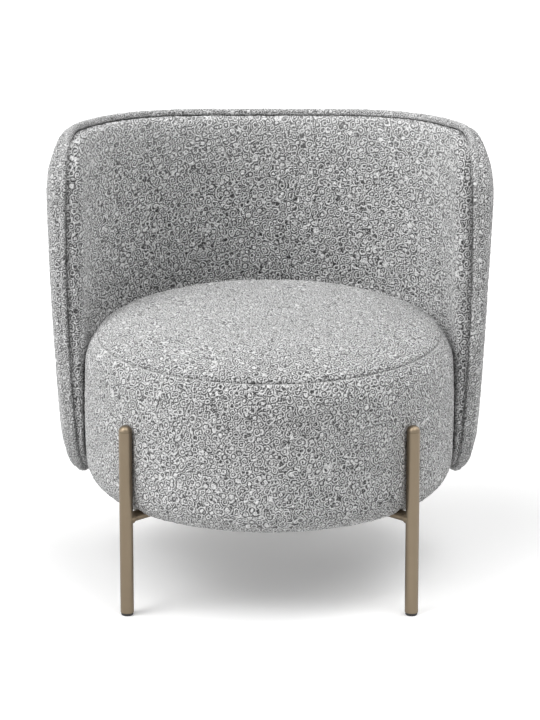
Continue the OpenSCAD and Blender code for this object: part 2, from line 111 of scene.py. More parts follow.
# Legs: radius and top of the tube and top of its cap, from the frame, and the arm below the mounting plate
LEGS = ["front_left", "front_right", "rear_left", "rear_right"]
TUBE_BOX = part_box("leg_tube_front_left")
LEG_R = round((TUBE_BOX[1].x - TUBE_BOX[0].x) / 2, 4)
CAP_Z = round(TUBE_BOX[1].z, 4)
LEG_TOP = round(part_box("leg_cap_front_left")[1].z, 4)
ARM_R = 0.0085
ARM_Z = round(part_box("leg_plate_front_left")[0].z, 4) - ARM_R
# The back's lower edge clears the rear arms by this gap below its piping
ARCH_GAP = 0.0006
ARCH_Z = ARM_Z + ARM_R + 2 * PIPING_R + ARCH_GAP

# Mesh spacing of the curly cover, and how many of its steps make one step of the cloth simulation
GRAIN = 0.0026
COARSE = 4
# Keeps a division from meeting zero
TINY = 1e-9


# Meshes from grids of points
def smooth(t):
    t = np.clip(t, 0, 1)
    return t * t * (3 - 2 * t)


def soft_limit(value, limit, width):
    """value where it is well below limit, and limit where it would be above, with a soft bend between."""
    over = np.clip((value - limit) / width, -30, 30)
    return value - width * np.log1p(np.exp(over))


def refine(points, steps, wrap):
    """The same surface with steps times as many points along the first axis, on smooth curves."""
    n = len(points)
    t = np.arange(n * steps if wrap else (n - 1) * steps + 1) / steps
    i = np.floor(t).astype(int)
    if not wrap:
        i = np.minimum(i, n - 2)
    f = (t - i).reshape((-1,) + (1,) * (points.ndim - 1))
    if wrap:
        a, b, c, d = (points[(i + k) % n] for k in (-1, 0, 1, 2))
    else:
        ends = np.concatenate([2 * points[:1] - points[1:2], points, 2 * points[-1:] - points[-2:-1]])
        a, b, c, d = (ends[i + k] for k in range(4))
    return b + 0.5 * f * (c - a + f * (2 * a - 5 * b + 4 * c - d + f * (3 * (b - c) + d - a)))


def refine_both(points, steps, wrap_first, wrap_second):
    once = refine(points, steps, wrap_first)
    return np.swapaxes(refine(np.swapaxes(once, 0, 1), steps, wrap_second), 0, 1)


def grid_faces(n, m, wrap_first=False, wrap_second=False):
    """Four-sided faces between n by m points, closed round along an axis that wraps."""
    rows = np.arange(n if wrap_first else n - 1)
    columns = np.arange(m if wrap_second else m - 1)
    i, j = (places.ravel() for places in np.meshgrid(rows, columns, indexing="ij"))
    next_i, next_j = (i + 1) % n, (j + 1) % m
    return np.stack([i * m + j, next_i * m + j, next_i * m + next_j, i * m + next_j], axis=1).tolist()


def grid_rim(n, m):
    """The places of a grid's outer points, in order round it."""
    return (list(range(m)) + [i * m + m - 1 for i in range(1, n)]
            + [(n - 1) * m + j for j in range(m - 2, -1, -1)] + [i * m for i in range(n - 2, 0, -1)])


def new_piece(name, points, faces, material=None):
    mesh = bpy.data.meshes.new(name)
    mesh.from_pydata([tuple(p) for p in np.asarray(points).reshape(-1, 3).tolist()], [], faces)
    mesh.update()
    piece = bpy.data.objects.new(name, mesh)
    bpy.context.scene.collection.objects.link(piece)
    for polygon in mesh.polygons:
        polygon.use_smooth = True
    if material:
        mesh.materials.append(material)
    return piece


def mesh_points(mesh):
    out = np.empty(len(mesh.vertices) * 3, np.float32)
    mesh.vertices.foreach_get("co", out)
    return out.reshape(-1, 3).astype(float)


# Padding by cloth simulation
CLOTH_SETTINGS = {"quality": 6, "mass": 0.3, "tension_stiffness": 15, "compression_stiffness": 15,
                  "shear_stiffness": 8, "bending_stiffness": 2, "use_pressure": True,
                  "uniform_pressure_force": 3.0, "vertex_group_mass": "held", "pin_stiffness": 1}
CLOTH_FRAMES = 20
# The most that the cloth may swell on the seat and on the back
SEAT_SWELL = 0.004
BACK_SWELL = 0.003


def puff(points, faces, held, most):
    """How far each point moves when the closed cover is blown up like padding, held where held is 1."""
    piece = new_piece("padding_trial", points, faces)
    group = piece.vertex_groups.new(name="held")
    levels = np.round(held, 2)
    for level in np.unique(levels):
        group.add(np.nonzero(levels == level)[0].tolist(), float(level), "REPLACE")
    settings = piece.modifiers.new("cloth", "CLOTH").settings
    for name, value in CLOTH_SETTINGS.items():
        setattr(settings, name, value)
    settings.effector_weights.gravity = 0
    scene = bpy.context.scene
    for number in range(1, CLOTH_FRAMES + 1):
        scene.frame_set(number)
    blown = piece.evaluated_get(bpy.context.evaluated_depsgraph_get())
    moved = mesh_points(blown.to_mesh()) - points
    blown.to_mesh_clear()
    scene.frame_set(1)
    bpy.data.objects.remove(piece)
    far = np.linalg.norm(moved, axis=1, keepdims=True)
    return moved * most / (most + far)


# Maths for shader and geometry nodes
class Wire:
    """A node's output that takes part in sums as a number does."""

    def __init__(self, nodes, socket):
        self.nodes, self.socket = nodes, socket

    def output(self, name):
        """Another output of the same node."""
        return Wire(self.nodes, self.socket.node.outputs[name])

    def maths(self, operation, a, b=0.0, clamp=False):
        return self.nodes.add("ShaderNodeMath", {"operation": operation, "use_clamp": clamp}, {0: a, 1: b})

    def __add__(self, other):
        return self.maths("ADD", self, other)

    def __radd__(self, other):
        return self.maths("ADD", other, self)

    def __sub__(self, other):
        return self.maths("SUBTRACT", self, other)

    def __rsub__(self, other):
        return self.maths("SUBTRACT", other, self)

    def __mul__(self, other):
        return self.maths("MULTIPLY", self, other)

    def __rmul__(self, other):
        return self.maths("MULTIPLY", other, self)

    def sine(self):
        return self.maths("SINE", self)

    def size(self):
        return self.maths("ABSOLUTE", self)

    def most(self, other):
        return self.maths("MAXIMUM", self, other)

    def clamped(self):
        return self.maths("ADD", self, clamp=True)


class Nodes:
    """Adds nodes to one tree."""

    def __init__(self, tree):
        self.tree = tree

    def add(self, kind, settings=None, values=None, out=0):
        """A new node's output out. Its settings are set first, then its sockets get values or links."""
        node = self.tree.nodes.new(kind)
        for name, value in (settings or {}).items():
            setattr(node, name, value)
        for name, value in (values or {}).items():
            if isinstance(value, Wire):
                self.tree.links.new(value.socket, node.inputs[name])
            else:
                node.inputs[name].default_value = value
        return Wire(self, node.outputs[out]) if len(node.outputs) else node

    def vector(self, operation, values, out=0):
        return self.add("ShaderNodeVectorMath", {"operation": operation}, values, out)

    def part(self, vector, axis):
        """The X, Y or Z of a vector."""
        return self.add("ShaderNodeSeparateXYZ", {}, {0: vector}, axis)

    def stretch(self, vector, by):
        return self.vector("MULTIPLY", {0: vector, 1: by})

    def noise(self, place, scale, detail=2.0, roughness=0.5, out=0):
        return self.add("ShaderNodeTexNoise", {},
                        {"Vector": place, "Scale": scale, "Detail": detail, "Roughness": roughness}, out)

    def step(self, value, start, end):
        """0 where value is below start and 1 where it is above end, with a soft rise between."""
        return self.add("ShaderNodeMapRange", {"interpolation_type": "SMOOTHSTEP"},
                        {"Value": value, "From Min": start, "From Max": end})

    def mix(self, share, a, b):
        """Colour a where share is 0 and b where it is 1."""
        return self.add("ShaderNodeMix", {"data_type": "RGBA"}, {0: share, 6: a, 7: b}, 2)

    def bump(self, strength, distance, height):
        return self.add("ShaderNodeBump", {}, {"Strength": strength, "Distance": distance, "Height": height})


def new_material(name, build, **constants):
    material = bpy.data.materials.new(name)
    material.use_nodes = True
    tree = material.node_tree
    tree.nodes.clear()
    nodes = Nodes(tree)
    place = nodes.add("ShaderNodeTexCoord", out="Object")
    linked = build(nodes, place)
    shader = nodes.add("ShaderNodeBsdfPrincipled", {}, {**constants, **linked})
    nodes.add("ShaderNodeOutputMaterial", {}, {"Surface": shader})
    return material


def grey(level):
    return (level, level, level, 1)


# The curly cover: distance between the middles of its curls, and between the turns of each spiral
CURL = 0.0104
CURL_TURN = 0.0036
# Smaller curls that show between them, taken from another place of the pattern
UNDER_CURL = 0.0068
UNDER_TURN = 0.0030
UNDER_SHIFT = (3.7, 1.9, 5.3)
# Scale of the noise that bends the curls and how far it moves them, for the curls and for the smaller ones
CURL_BEND = (220.0, 0.0035)
UNDER_BEND = (140.0, 0.005)
# Shares of a cell between which a curl falls away to the next, and by how much
CELL_EDGE = (0.70, 0.95)
CELL_DEEP = 0.35
# Two ways across a curl, aslant to the chair's faces, that tell the angle round its middle
CURL_WAYS = ((1.0, 0.5, -0.5), (-0.5, 1.0, 0.8))
# How much one curl's start differs from the next, and how much a curl's turns waver, in radians
CURL_START = 3.0
CURL_WAVER = 1.6
# How much the curls, the smaller curls and loose fuzz each add to the height of the yarn
CURL_HEIGHT = 0.85
UNDER_HEIGHT = 0.30
FUZZ_HEIGHT = 1.3
# Heights of the yarn between which strands rise out of the gaps, and crests out of the strands
STRAND_RISE = (-0.80, 0.05)
CREST_RISE = (0.22, 0.72)
# Colours: the yarn, a painted highlight on its crests, painted shade in a seam, gaps and crests under painted
# light
YARN = (0.61, 0.61, 0.615, 1)
YARN_PAINTED_HIGHLIGHT = grey(0.96)
SEAM_PAINTED_SHADE = grey(0.05)
PAINTED_LIGHT_GAP = grey(0.35)
PAINTED_LIGHT_CREST = grey(1.0)
# Heights of the lumps in the mesh of the seat and the inner panel, of the outer panel and of the piping
COVER_RELIEF = 0.0016
OUTER_RELIEF = 0.0014
PIPING_RELIEF = 0.0012


def bent_place(nodes, place, scale, by):
    """The place moved about by soft noise, so that what is drawn there is bent."""
    drift = nodes.noise(place, scale, 1.0, out="Color")
    return nodes.vector("MULTIPLY_ADD", {0: drift, 1: (by, by, by), 2: place})


def lumps(nodes, place):
    """Height of the lumps of yarn, about 0 between them and 1 on top."""
    far = nodes.add("ShaderNodeTexVoronoi", {"feature": "SMOOTH_F1"},
                    {"Vector": bent_place(nodes, place, 140.0, 0.006), "Scale": 118.0, "Smoothness": 0.4})
    return 1.0 - far * 1.15


def curls(nodes, place, cell, spacing, shift):
    """Spirals of yarn round the middle of each cell, from -1 in the gaps to 1 on the strands."""
    moved = nodes.vector("ADD", {0: place, 1: shift})
    far = nodes.add("ShaderNodeTexVoronoi", {}, {"Vector": moved, "Scale": 1 / cell})
    any_number, middle = far.output("Color"), far.output("Position")
    out = nodes.vector("SUBTRACT", {0: moved, 1: middle})
    across, along = (nodes.vector("DOT_PRODUCT", {0: out, 1: way}, "Value") for way in CURL_WAYS)
    angle = across.maths("ARCTAN2", across, along)
    turn = angle + any_number * CURL_START + nodes.noise(moved, 160.0, 1.0) * CURL_WAVER
    return (far * (2 * math.pi * cell / spacing) + turn).sine() - nodes.step(far, *CELL_EDGE) * CELL_DEEP


def boucle(nodes, place, stretch=(1.0, 0.9, 1.0), gap_painted_shade=0.045):
    """Curly fabric. stretch keeps the curls round where it is seen aslant, deep is the painted shade between
    them.
    """
    place = nodes.stretch(place, stretch)
    main = curls(nodes, bent_place(nodes, place, *CURL_BEND), CURL, CURL_TURN, (0, 0, 0))
    under = curls(nodes, bent_place(nodes, place, *UNDER_BEND), UNDER_CURL, UNDER_TURN, UNDER_SHIFT)
    fuzz = nodes.noise(place, 520.0, 0.0) - 0.5
    height = main * CURL_HEIGHT + under * UNDER_HEIGHT + fuzz * FUZZ_HEIGHT
    strand = nodes.step(height, *STRAND_RISE)
    crest = nodes.step(height, *CREST_RISE)
    # The level stored on each piece: painted shade above 0, painted light below 0
    seam = nodes.add("ShaderNodeAttribute", {"attribute_name": "seam"}, out="Fac")
    # Painted shade in the gaps between strands, then the yarn, then a painted highlight on the crests
    fabric = nodes.mix(crest, nodes.mix(strand, grey(gap_painted_shade), YARN), YARN_PAINTED_HIGHLIGHT)
    # Painted shade in seams and grooves, deepest in the gaps between strands
    hollow = (seam * (0.85 - strand * 0.55)).clamped()
    # The paler pattern that painted light mixes in where the stored level is below 0
    painted_light = nodes.mix(strand * 0.5 + crest * 0.5, PAINTED_LIGHT_GAP, PAINTED_LIGHT_CREST)
    colour = nodes.mix((seam * -1.0).clamped(), nodes.mix(hollow, fabric, SEAM_PAINTED_SHADE), painted_light)
    return {"Base Color": colour, "Normal": nodes.bump(0.9, 0.0025, height * 0.5)}


# Copies for the back's inner and outer panels: curls stretched for how they are seen, with darker or lighter
# painted shade between the curls
def boucle_inside(nodes, place):
    return boucle(nodes, place, stretch=(1.0, 0.36, 1.0), gap_painted_shade=0.03)


def boucle_outside(nodes, place):
    return boucle(nodes, place, stretch=(1.15, 1.05, 1.15), gap_painted_shade=0.08)


def curly_relief(piece, depth):
    """Raises the cover's mesh in small lumps of yarn and applies them."""
    tree = bpy.data.node_groups.new("curly_relief", "GeometryNodeTree")
    tree.interface.new_socket("Geometry", in_out="INPUT", socket_type="NodeSocketGeometry")
    tree.interface.new_socket("Geometry", in_out="OUTPUT", socket_type="NodeSocketGeometry")
    nodes = Nodes(tree)
    start = nodes.add("NodeGroupInput")
    place = nodes.add("GeometryNodeInputPosition")
    normal = nodes.add("GeometryNodeInputNormal")
    raised = (lumps(nodes, place) - 0.5) * depth
    offset = nodes.vector("SCALE", {"Vector": normal, "Scale": raised})
    moved = nodes.add("GeometryNodeSetPosition", {}, {"Geometry": start, "Offset": offset})
    nodes.add("NodeGroupOutput", {}, {"Geometry": moved})
    piece.modifiers.new("relief", "NODES").node_group = tree
    evaluated = bpy.context.evaluated_depsgraph_get()
    done = bpy.data.meshes.new_from_object(piece.evaluated_get(evaluated), preserve_all_data_layers=True,
                                           depsgraph=evaluated)
    piece.modifiers.clear()
    old = piece.data
    piece.data = done
    bpy.data.meshes.remove(old)
    done.name = piece.name


def mark_seam(piece, painted_levels):
    """Stores each point's painted shading for the material: 1 is painted shade in a seam's depth, below 0
    painted light.
    """
    seam = piece.data.attributes.new("seam", "FLOAT", "POINT")
    seam.data.foreach_set("value", np.asarray(painted_levels, np.float32))


def seam_shade(distance, width):
    return np.exp(-(np.clip(distance, 0, None) / width) ** 2)


# How the covers give way to a leg: room round the tube, slope of the hollow's sides and the share of its
# reach where they start, the bend at its edge, how far aside it may reach, and from what distance outwards
TUBE_ROOM = 0.0014
TUBE_SLOPE = 6
TUBE_SLOPE_SHARE = 0.9
TUBE_BEND = 0.0012
TUBE_SIDE = 0.05
TUBE_FROM = 0.2
# The hollow closes from just below the cap's top, over this height, by this much
CAP_BELOW = 0.006
CAP_FADE = 0.014
CAP_OUT = 0.03
# The same for the arms under the seat
ARM_ROOM = 0.0016
ARM_SLOPE = 5
ARM_SLOPE_SHARE = 0.85
ARM_BEND = 0.0015
ARM_SIDE = 0.04
ARM_FROM = 0.15


def beside_legs(points):
    """For each leg: its distance from the seat's middle, its direction there, and how far each point lies
    that way and aside from it."""
    x, y = points[..., 0], points[..., 1] - SEAT_Y
    for leg in LEGS:
        low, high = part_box(f"leg_tube_{leg}")
        leg_x, leg_y = (low.x + high.x) / 2, (low.y + high.y) / 2 - SEAT_Y
        angle = math.atan2(leg_x, leg_y)
        way_x, way_y = math.sin(angle), math.cos(angle)
        yield math.hypot(leg_x, leg_y), (way_x, way_y), x * way_x + y * way_y, np.abs(x * way_y - y * way_x)


def press_by_legs(points):
    """Pushes the cover towards the seat's middle where a leg tube stands against it."""
    out = points.copy()
    reach = LEG_R + TUBE_ROOM
    over_cap = CAP_OUT * smooth((points[..., 2] - LEG_TOP + CAP_BELOW) / CAP_FADE)
    for far, way, ahead, aside in beside_legs(points):
        hollow = np.sqrt(np.clip(reach ** 2 - aside ** 2, 0, None))
        face = far - hollow + TUBE_SLOPE * np.clip(aside - TUBE_SLOPE_SHARE * reach, 0, None) + over_cap
        push = ahead - soft_limit(ahead, face, TUBE_BEND)
        push = np.where((ahead > TUBE_FROM) & (aside < TUBE_SIDE), push, 0)
        out[..., 0] -= push * way[0]
        out[..., 1] -= push * way[1]
    return out


def lift_over_arms(points):
    """Lifts the cover's underside over the arms that carry the legs."""
    out = points.copy()
    z = points[..., 2]
    reach = ARM_R + ARM_ROOM
    for _, _, ahead, aside in beside_legs(points):
        arch = np.sqrt(np.clip(reach ** 2 - aside ** 2, 0, None))
        roof = ARM_Z + arch - ARM_SLOPE * np.clip(aside - reach * ARM_SLOPE_SHARE, 0, None)
        lift = -soft_limit(-z, -roof, ARM_BEND) - z
        out[..., 2] += np.where((ahead > ARM_FROM) & (aside < ARM_SIDE) & (z < ARM_Z + ARM_SIDE), lift, 0)
    return out


# Seat: points along the parts of its outline, before they are spread evenly
LIP_STEPS = 30
ROLL_STEPS = 60
SIDE_STEPS = 60
SHOULDER_STEPS = 50
FOLD_STEPS = 14
CROWN_STEPS = 300
# The crown's slope at its edge is taken over this many of its last steps
SLOPE_STEPS = 3
# The top's edge stops this far inside the seam
SEAM_SLACK = 0.0005
# The side's hidden return: how far it first runs in and down from the fold, how far it stands off the frame,
# and where it has a point above the board's underside
RETURN_IN = 0.012
RETURN_GAP = 0.001
RETURN_LOW = 0.02
# How much of the side cover and of the top cover lies in the fold
SIDE_IN_FOLD = 1.5 * FOLD_R + FOLD_DEEP
TOP_IN_FOLD = 1.2 * FOLD_R + FOLD_DEEP
# Points of the coarse side cover, counted from its inner edge, that the board holds
BOARD_HELD = 4
# Share of the top where the seam starts to hold it, and share over which the hold comes in
HOLD_FROM = 0.9
HOLD_OVER = 0.08
# Steps across the top as a share of those along its outline, and how much smaller its hidden bottom is
TOP_DENSITY = 0.86
BOTTOM_SHARE = 0.965
# Painted shading at the seat's seam: painted shade in the top's fold, a painted highlight on the side's edge
# and painted shade towards the front, with the distances from the seam where some of them start and the
# widths over which they fade
TOP_FOLD_PAINTED_SHADE = 0.7
TOP_FOLD_WIDTH = 0.0020
SIDE_EDGE_PAINTED_LIGHT = 1.2
SIDE_EDGE_FROM = 0.0005
SIDE_EDGE_WIDTH = 0.0016
FRONT_PAINTED_SHADE = 0.34
FRONT_TOP_WIDTH = 0.04
FRONT_SIDE_FROM = 0.003
FRONT_SIDE_WIDTH = 0.12


def direction(degrees):
    return np.array([math.cos(math.radians(degrees)), math.sin(math.radians(degrees))])


def arc(middle, r, start, end, count):
    a = np.radians(np.linspace(start, end, count))
    return np.stack([middle[0] + r * np.cos(a), middle[1] + r * np.sin(a)], axis=1)


def path_run(path):
    """How far along a path each of its points lies."""
    return np.concatenate([[0], np.cumsum(np.linalg.norm(np.diff(path, axis=0), axis=1))])


def even(path, count):
    """count points at even steps along a path."""
    run = path_run(path)
    at = np.linspace(0, run[-1], count)
    return np.stack([np.interp(at, run, path[:, k]) for k in range(path.shape[1])], axis=1)


def with_fold(path, middle, start, end):
    """A path that ends in the seam's fold and a short straight run into it."""
    fold = arc(middle, FOLD_R, start, end, FOLD_STEPS)[1:]
    return np.concatenate([path, fold, [fold[-1] + FOLD_DEEP * direction(FOLD_WAY)]])


def side_path():
    """The side cover from the board under the seat, round the rolled edge and up into the seam's fold."""
    tilt = math.degrees(SEAM_TILT - FOLD_R / SHOULDER_R)
    height = np.linspace(0, 1, SIDE_STEPS)[1:-1]
    side = np.stack([SIDE_R + BARREL * np.sin(math.pi * height),
                     ROLL_Z + (SHOULDER_Z - ROLL_Z) * height], axis=1)
    shoulder_middle = np.array([SHOULDER_MID_R, SHOULDER_Z])
    shown = np.concatenate([arc((LIP_R, BOARD_Z), LIP, 180, 270, LIP_STEPS)[:-1],
                            arc((LIP_R, ROLL_Z), ROLL_R, 270, 360, ROLL_STEPS), side,
                            arc(shoulder_middle, SHOULDER_R, 0, tilt, SHOULDER_STEPS)])
    return with_fold(shown, shoulder_middle + (SHOULDER_R - FOLD_R) * direction(tilt), tilt, FOLD_WAY - 90)


def crown(r):
    return SEAM_Z + CROWN * (1 - (r / SEAM_R) ** CROWN_POWER) ** CROWN_ROUND


def top_path():
    """The top cover from the middle out over its crown and down into the seam's fold."""
    r = (SEAM_R - SEAM_SLACK) * np.sin(np.linspace(0, math.pi / 2, CROWN_STEPS))
    top = np.stack([r, crown(r)], axis=1)
    edge = top[-1] - top[-1 - SLOPE_STEPS]
    slope = math.degrees(math.atan2(edge[1], edge[0]))
    return with_fold(top, top[-1] - FOLD_R * direction(slope + 90), slope + 90, FOLD_WAY - 270)


def turned(path, count):
    """A path of radius and height, turned round the seat's middle."""
    a = (np.arange(count) / count * 2 * math.pi)[:, None]
    r, z = path[:, 0], path[:, 1]
    return np.stack([r * np.sin(a), SEAT_Y - r * np.cos(a), z + 0 * a], axis=2)


def facing(points):
    """How much a place on the seat faces the front, where painted shade darkens the cover."""
    return np.clip((SEAT_Y - points[..., 1]) / SEAT_R, 0, 1) ** 3


def make_seat_side(material):
    path = side_path()
    length = path_run(path)[-1]
    rows = int(length / GRAIN / COARSE) * COARSE + 1
    round_steps = int(2 * math.pi * SEAT_R / GRAIN / COARSE) * COARSE
    shown = even(path, rows)
    return_r = FRAME_R + RETURN_GAP
    hidden = np.array([[SEAM_R - RETURN_IN, shown[-1, 1] - RETURN_IN], [return_r, PAD_Z],
                       [return_r, BOARD_Z + RETURN_LOW], [return_r, BOARD_Z]])
    coarse = turned(np.concatenate([shown[::COARSE], hidden]), round_steps // COARSE)
    n, m = coarse.shape[:2]
    held = np.zeros((n, m))
    held[:, :BOARD_HELD] = 1
    held[:, -len(hidden) - 1:] = 1
    moved = puff(coarse.reshape(-1, 3), grid_faces(n, m, True, True), held.ravel(), SEAT_SWELL)
    moved = moved.reshape(n, m, 3)
    fine = turned(shown, round_steps) + refine_both(moved[:, :m - len(hidden)], COARSE, True, False)
    points = np.concatenate([lift_over_arms(press_by_legs(fine)), turned(hidden, round_steps)], axis=1)
    n, m = points.shape[:2]
    piece = new_piece("seat_side_padding", points, grid_faces(n, m, True, True), material)
    # Painted light on the side's edge at the seam, and painted shade towards the front
    from_seam = (rows - 1 - np.arange(m)) * length / (rows - 1) - SIDE_IN_FOLD
    painted_light = SIDE_EDGE_PAINTED_LIGHT * seam_shade(from_seam - SIDE_EDGE_FROM, SIDE_EDGE_WIDTH) * (np.arange(m) < rows)
    front_painted_shade = FRONT_PAINTED_SHADE * facing(points) * seam_shade(from_seam - FRONT_SIDE_FROM, FRONT_SIDE_WIDTH)
    mark_seam(piece, (front_painted_shade - painted_light).ravel())
    curly_relief(piece, COVER_RELIEF)
    return piece


def disc(count):
    """Shares from -1 to 1 across and along a round piece, on an even grid that ends on its rim."""
    s, t = np.meshgrid(np.linspace(-1, 1, count), np.linspace(-1, 1, count), indexing="ij")
    return s * np.sqrt(1 - t * t / 2), t * np.sqrt(1 - s * s / 2)


def top_points(path, count):
    """The top cover's points, and how far each lies from the end of the path."""
    x, y = disc(count)
    share = np.sqrt(x * x + y * y)
    run = path_run(path)
    at = np.clip(share, 0, 1) * run[-1]
    r, z = np.interp(at, run, path[:, 0]), np.interp(at, run, path[:, 1])
    scale = r / np.maximum(share, TINY)
    return np.stack([x * scale, SEAT_Y + y * scale, z], axis=2), run[-1] - at


def with_bottom(points, bottom_z):
    """Closes a round panel with a rim down to bottom_z and a flat underside."""
    n, m = points.shape[:2]
    rim = grid_rim(n, m)
    flat = points.reshape(-1, 3)
    base, count = len(flat), len(rim)
    middle = np.array([[0, SEAT_Y, bottom_z]])
    low = middle + (flat[rim] - middle) * [BOTTOM_SHARE, BOTTOM_SHARE, 0]
    faces = grid_faces(n, m)
    for k in range(count):
        after = (k + 1) % count
        faces.append([rim[k], rim[after], base + after, base + k])
        faces.append([base + k, base + after, base + count])
    return np.concatenate([flat, low, middle]), faces


def make_seat_top(material):
    path = top_path()
    count = int(2 * path_run(path)[-1] / GRAIN / COARSE * TOP_DENSITY) * COARSE + 1
    coarse, _ = top_points(path, (count - 1) // COARSE + 1)
    n = len(coarse)
    closed, faces = with_bottom(coarse, PAD_Z)
    held = np.ones(len(closed))
    held[:n * n] = np.clip((np.hypot(*disc(n)).ravel() - HOLD_FROM) / HOLD_OVER, 0, 1)
    moved = puff(closed, faces, held, SEAT_SWELL)[:n * n].reshape(n, n, 3)
    fine, from_edge = top_points(path, count)
    fine = fine + refine_both(moved, COARSE, False, False)
    points, faces = with_bottom(fine, PAD_Z)
    piece = new_piece("seat_top_cushion", points, faces, material)
    gone = from_edge - TOP_IN_FOLD
    # Painted shade in the top's fold at the seam and towards the front
    painted_levels = np.zeros(len(points))
    painted_levels[:fine.size // 3] = (TOP_FOLD_PAINTED_SHADE * seam_shade(gone, TOP_FOLD_WIDTH)
                             + FRONT_PAINTED_SHADE * facing(fine) * seam_shade(gone, FRONT_TOP_WIDTH)).ravel()
    mark_seam(piece, painted_levels)
    curly_relief(piece, COVER_RELIEF)
    return piece


# Back: share of each half along which the lower edge is highest, and share over which it then comes down
ARCH_SHARE = 0.3
ARCH_FALL_SHARE = 0.65
# Rise of the top edge between its middle and its corners, and everywhere
SHOULDER_RISE = 0.0052
EDGE_RISE = 0.0004
# Where the outer panel meets the seam, in piping radii past the seam line
OUTER_START = 1.65
# Height, and how much further out than an even swell the outer panel stands there, then how much more on
# its right
OUTER_MORE = np.array([(0.16, -0.0120), (0.20, -0.0090), (0.24, -0.0060), (0.38, -0.0055), (0.47, -0.0036),
                       (0.555, -0.0012), (0.64, 0.0018), (0.67, 0.0010), (0.70, -0.0045), (0.74, -0.0100)])
RIGHT_MORE = np.array([(0.50, 0.0), (0.62, 0.0026), (0.74, 0.0026)])
# How the panels swell beside the piping: width of the roll, then the push at the seam and the most beyond it,
# each for the level and for the upright seams
INNER_BULGE = (0.110, (0.0012, 0.0108), (0.0130, 0.0165))
OUTER_BULGE = (0.034, (0.0070, 0.0112), (0.0035, 0.0035))
# Steps of a panel's mesh round a corner and up its height
CORNER_STEPS = 56
RISE_STEPS = 216
# The seam holds a panel up to the first distance, and lets go of it over the second
PANEL_HELD = 0.006
PANEL_LETS_GO = 0.03
# The panels' plain far faces stand off the plywood by this much, drawn in by this share
PLY_CLEAR = 0.002
LID_SHARE = 0.995


def back_low(a):
    return LOW_Z + (ARCH_Z - LOW_Z) * (1 - smooth((np.abs(a) / WRAP - ARCH_SHARE) / ARCH_FALL_SHARE))


def back_high(a):
    level_look = EDGE_Z - RIM_R * (np.cos(a) - math.cos(WRAP)) * LEAN
    return level_look + SHOULDER_RISE * np.sin(2 * a) ** 2 + EDGE_RISE


def lean_back(z):
    return LEAN * LEAN_BLEND * np.log1p(np.exp((z - LEAN_Z) / LEAN_BLEND))


def flare(z):
    return FLARE * (z - FLARE_Z) - BELLY * ((z - FLARE_Z) / HALF_RISE) ** 2


def back_place(u, v, r):
    """Where a place of the flattened back stands: u along its run, v up its rise, at radius r."""
    a = u / RIM_R
    low = back_low(a)
    z = low + (v + HALF_RISE) / (2 * HALF_RISE) * (back_high(a) - low)
    return np.stack([r * np.sin(a), SEAT_Y + lean_back(z) + r * np.cos(a), z], axis=-1)


def inside(u, v):
    """How far inside the seam line a flattened place is."""
    x, y = np.abs(u) - STRAIGHT_RUN, np.abs(v) - STRAIGHT_RISE
    return CORNER_R - np.where((x > 0) & (y > 0), np.hypot(x, y), np.maximum(x, y))


def outward(u, v):
    """Direction towards the nearest part of the seam line, in the flattened panel."""
    x, y = np.abs(u) - STRAIGHT_RUN, np.abs(v) - STRAIGHT_RISE
    far = np.maximum(np.hypot(np.maximum(x, 0), np.maximum(y, 0)), TINY)
    corner = (x > 0) & (y > 0)
    return (np.where(corner, x / far, (x >= y) * 1.0) * np.sign(u),
            np.where(corner, y / far, (x < y) * 1.0) * np.sign(v))


def rolled(distance, width):
    t = 1 - np.clip(distance / width, 0, 1)
    return 1 - np.sqrt(np.clip(1 - t * t, 0, None))


def rim_radius(u, v):
    return RIM_R + flare(back_place(u, v, RIM_R)[..., 2])


def inner_face(u, v):
    return INNER_R + (rim_radius(u, v) - INNER_R) * rolled(inside(u, v), INNER_ROLL)


def outer_face(u, v):
    z = back_place(u, v, RIM_R)[..., 2]
    swell = SWELL + np.interp(z, OUTER_MORE[:, 0], OUTER_MORE[:, 1])
    swell = swell + smooth(u / HALF_RUN) * np.interp(z, RIGHT_MORE[:, 0], RIGHT_MORE[:, 1])
    return rim_radius(u, v) + swell - (swell - OUTER_START * PIPING_R) * rolled(inside(u, v), OUTER_ROLL)


def bulge(u, v, width, at_seam, most):
    """Flattened places pushed outward where the panel rolls, so that it swells beside the piping. at_seam
    and most each have a value for the level seams and one for the upright ones."""
    out_x, out_y = outward(u, v)
    t = np.clip(inside(u, v) / width, 0, 1)
    at_seam, most = (level + (upright - level) * out_x ** 2 for level, upright in (at_seam, most))
    push = at_seam * (1 - smooth(t)) + most * np.sin(math.pi * np.sqrt(t)) ** 2
    return u + push * out_x, v + push * out_y


def panel_grid():
    """Flattened places of a back panel's points, column by column."""
    turn = np.radians(90 * np.arange(1, CORNER_STEPS + 1) / CORNER_STEPS)
    right = STRAIGHT_RUN + CORNER_R * np.sin(turn)
    middle_steps = int(2 * STRAIGHT_RUN / GRAIN / COARSE) * COARSE
    u = np.concatenate([-right[::-1], np.linspace(-STRAIGHT_RUN, STRAIGHT_RUN, middle_steps + 1), right])
    x = np.abs(u) - STRAIGHT_RUN
    rise = STRAIGHT_RISE + np.where(x > 0, np.sqrt(np.clip(CORNER_R ** 2 - x * x, 0, None)), CORNER_R)
    s = np.linspace(-1, 1, RISE_STEPS + 1)
    return np.repeat(u[:, None], len(s), axis=1), rise[:, None] * s[None, :]


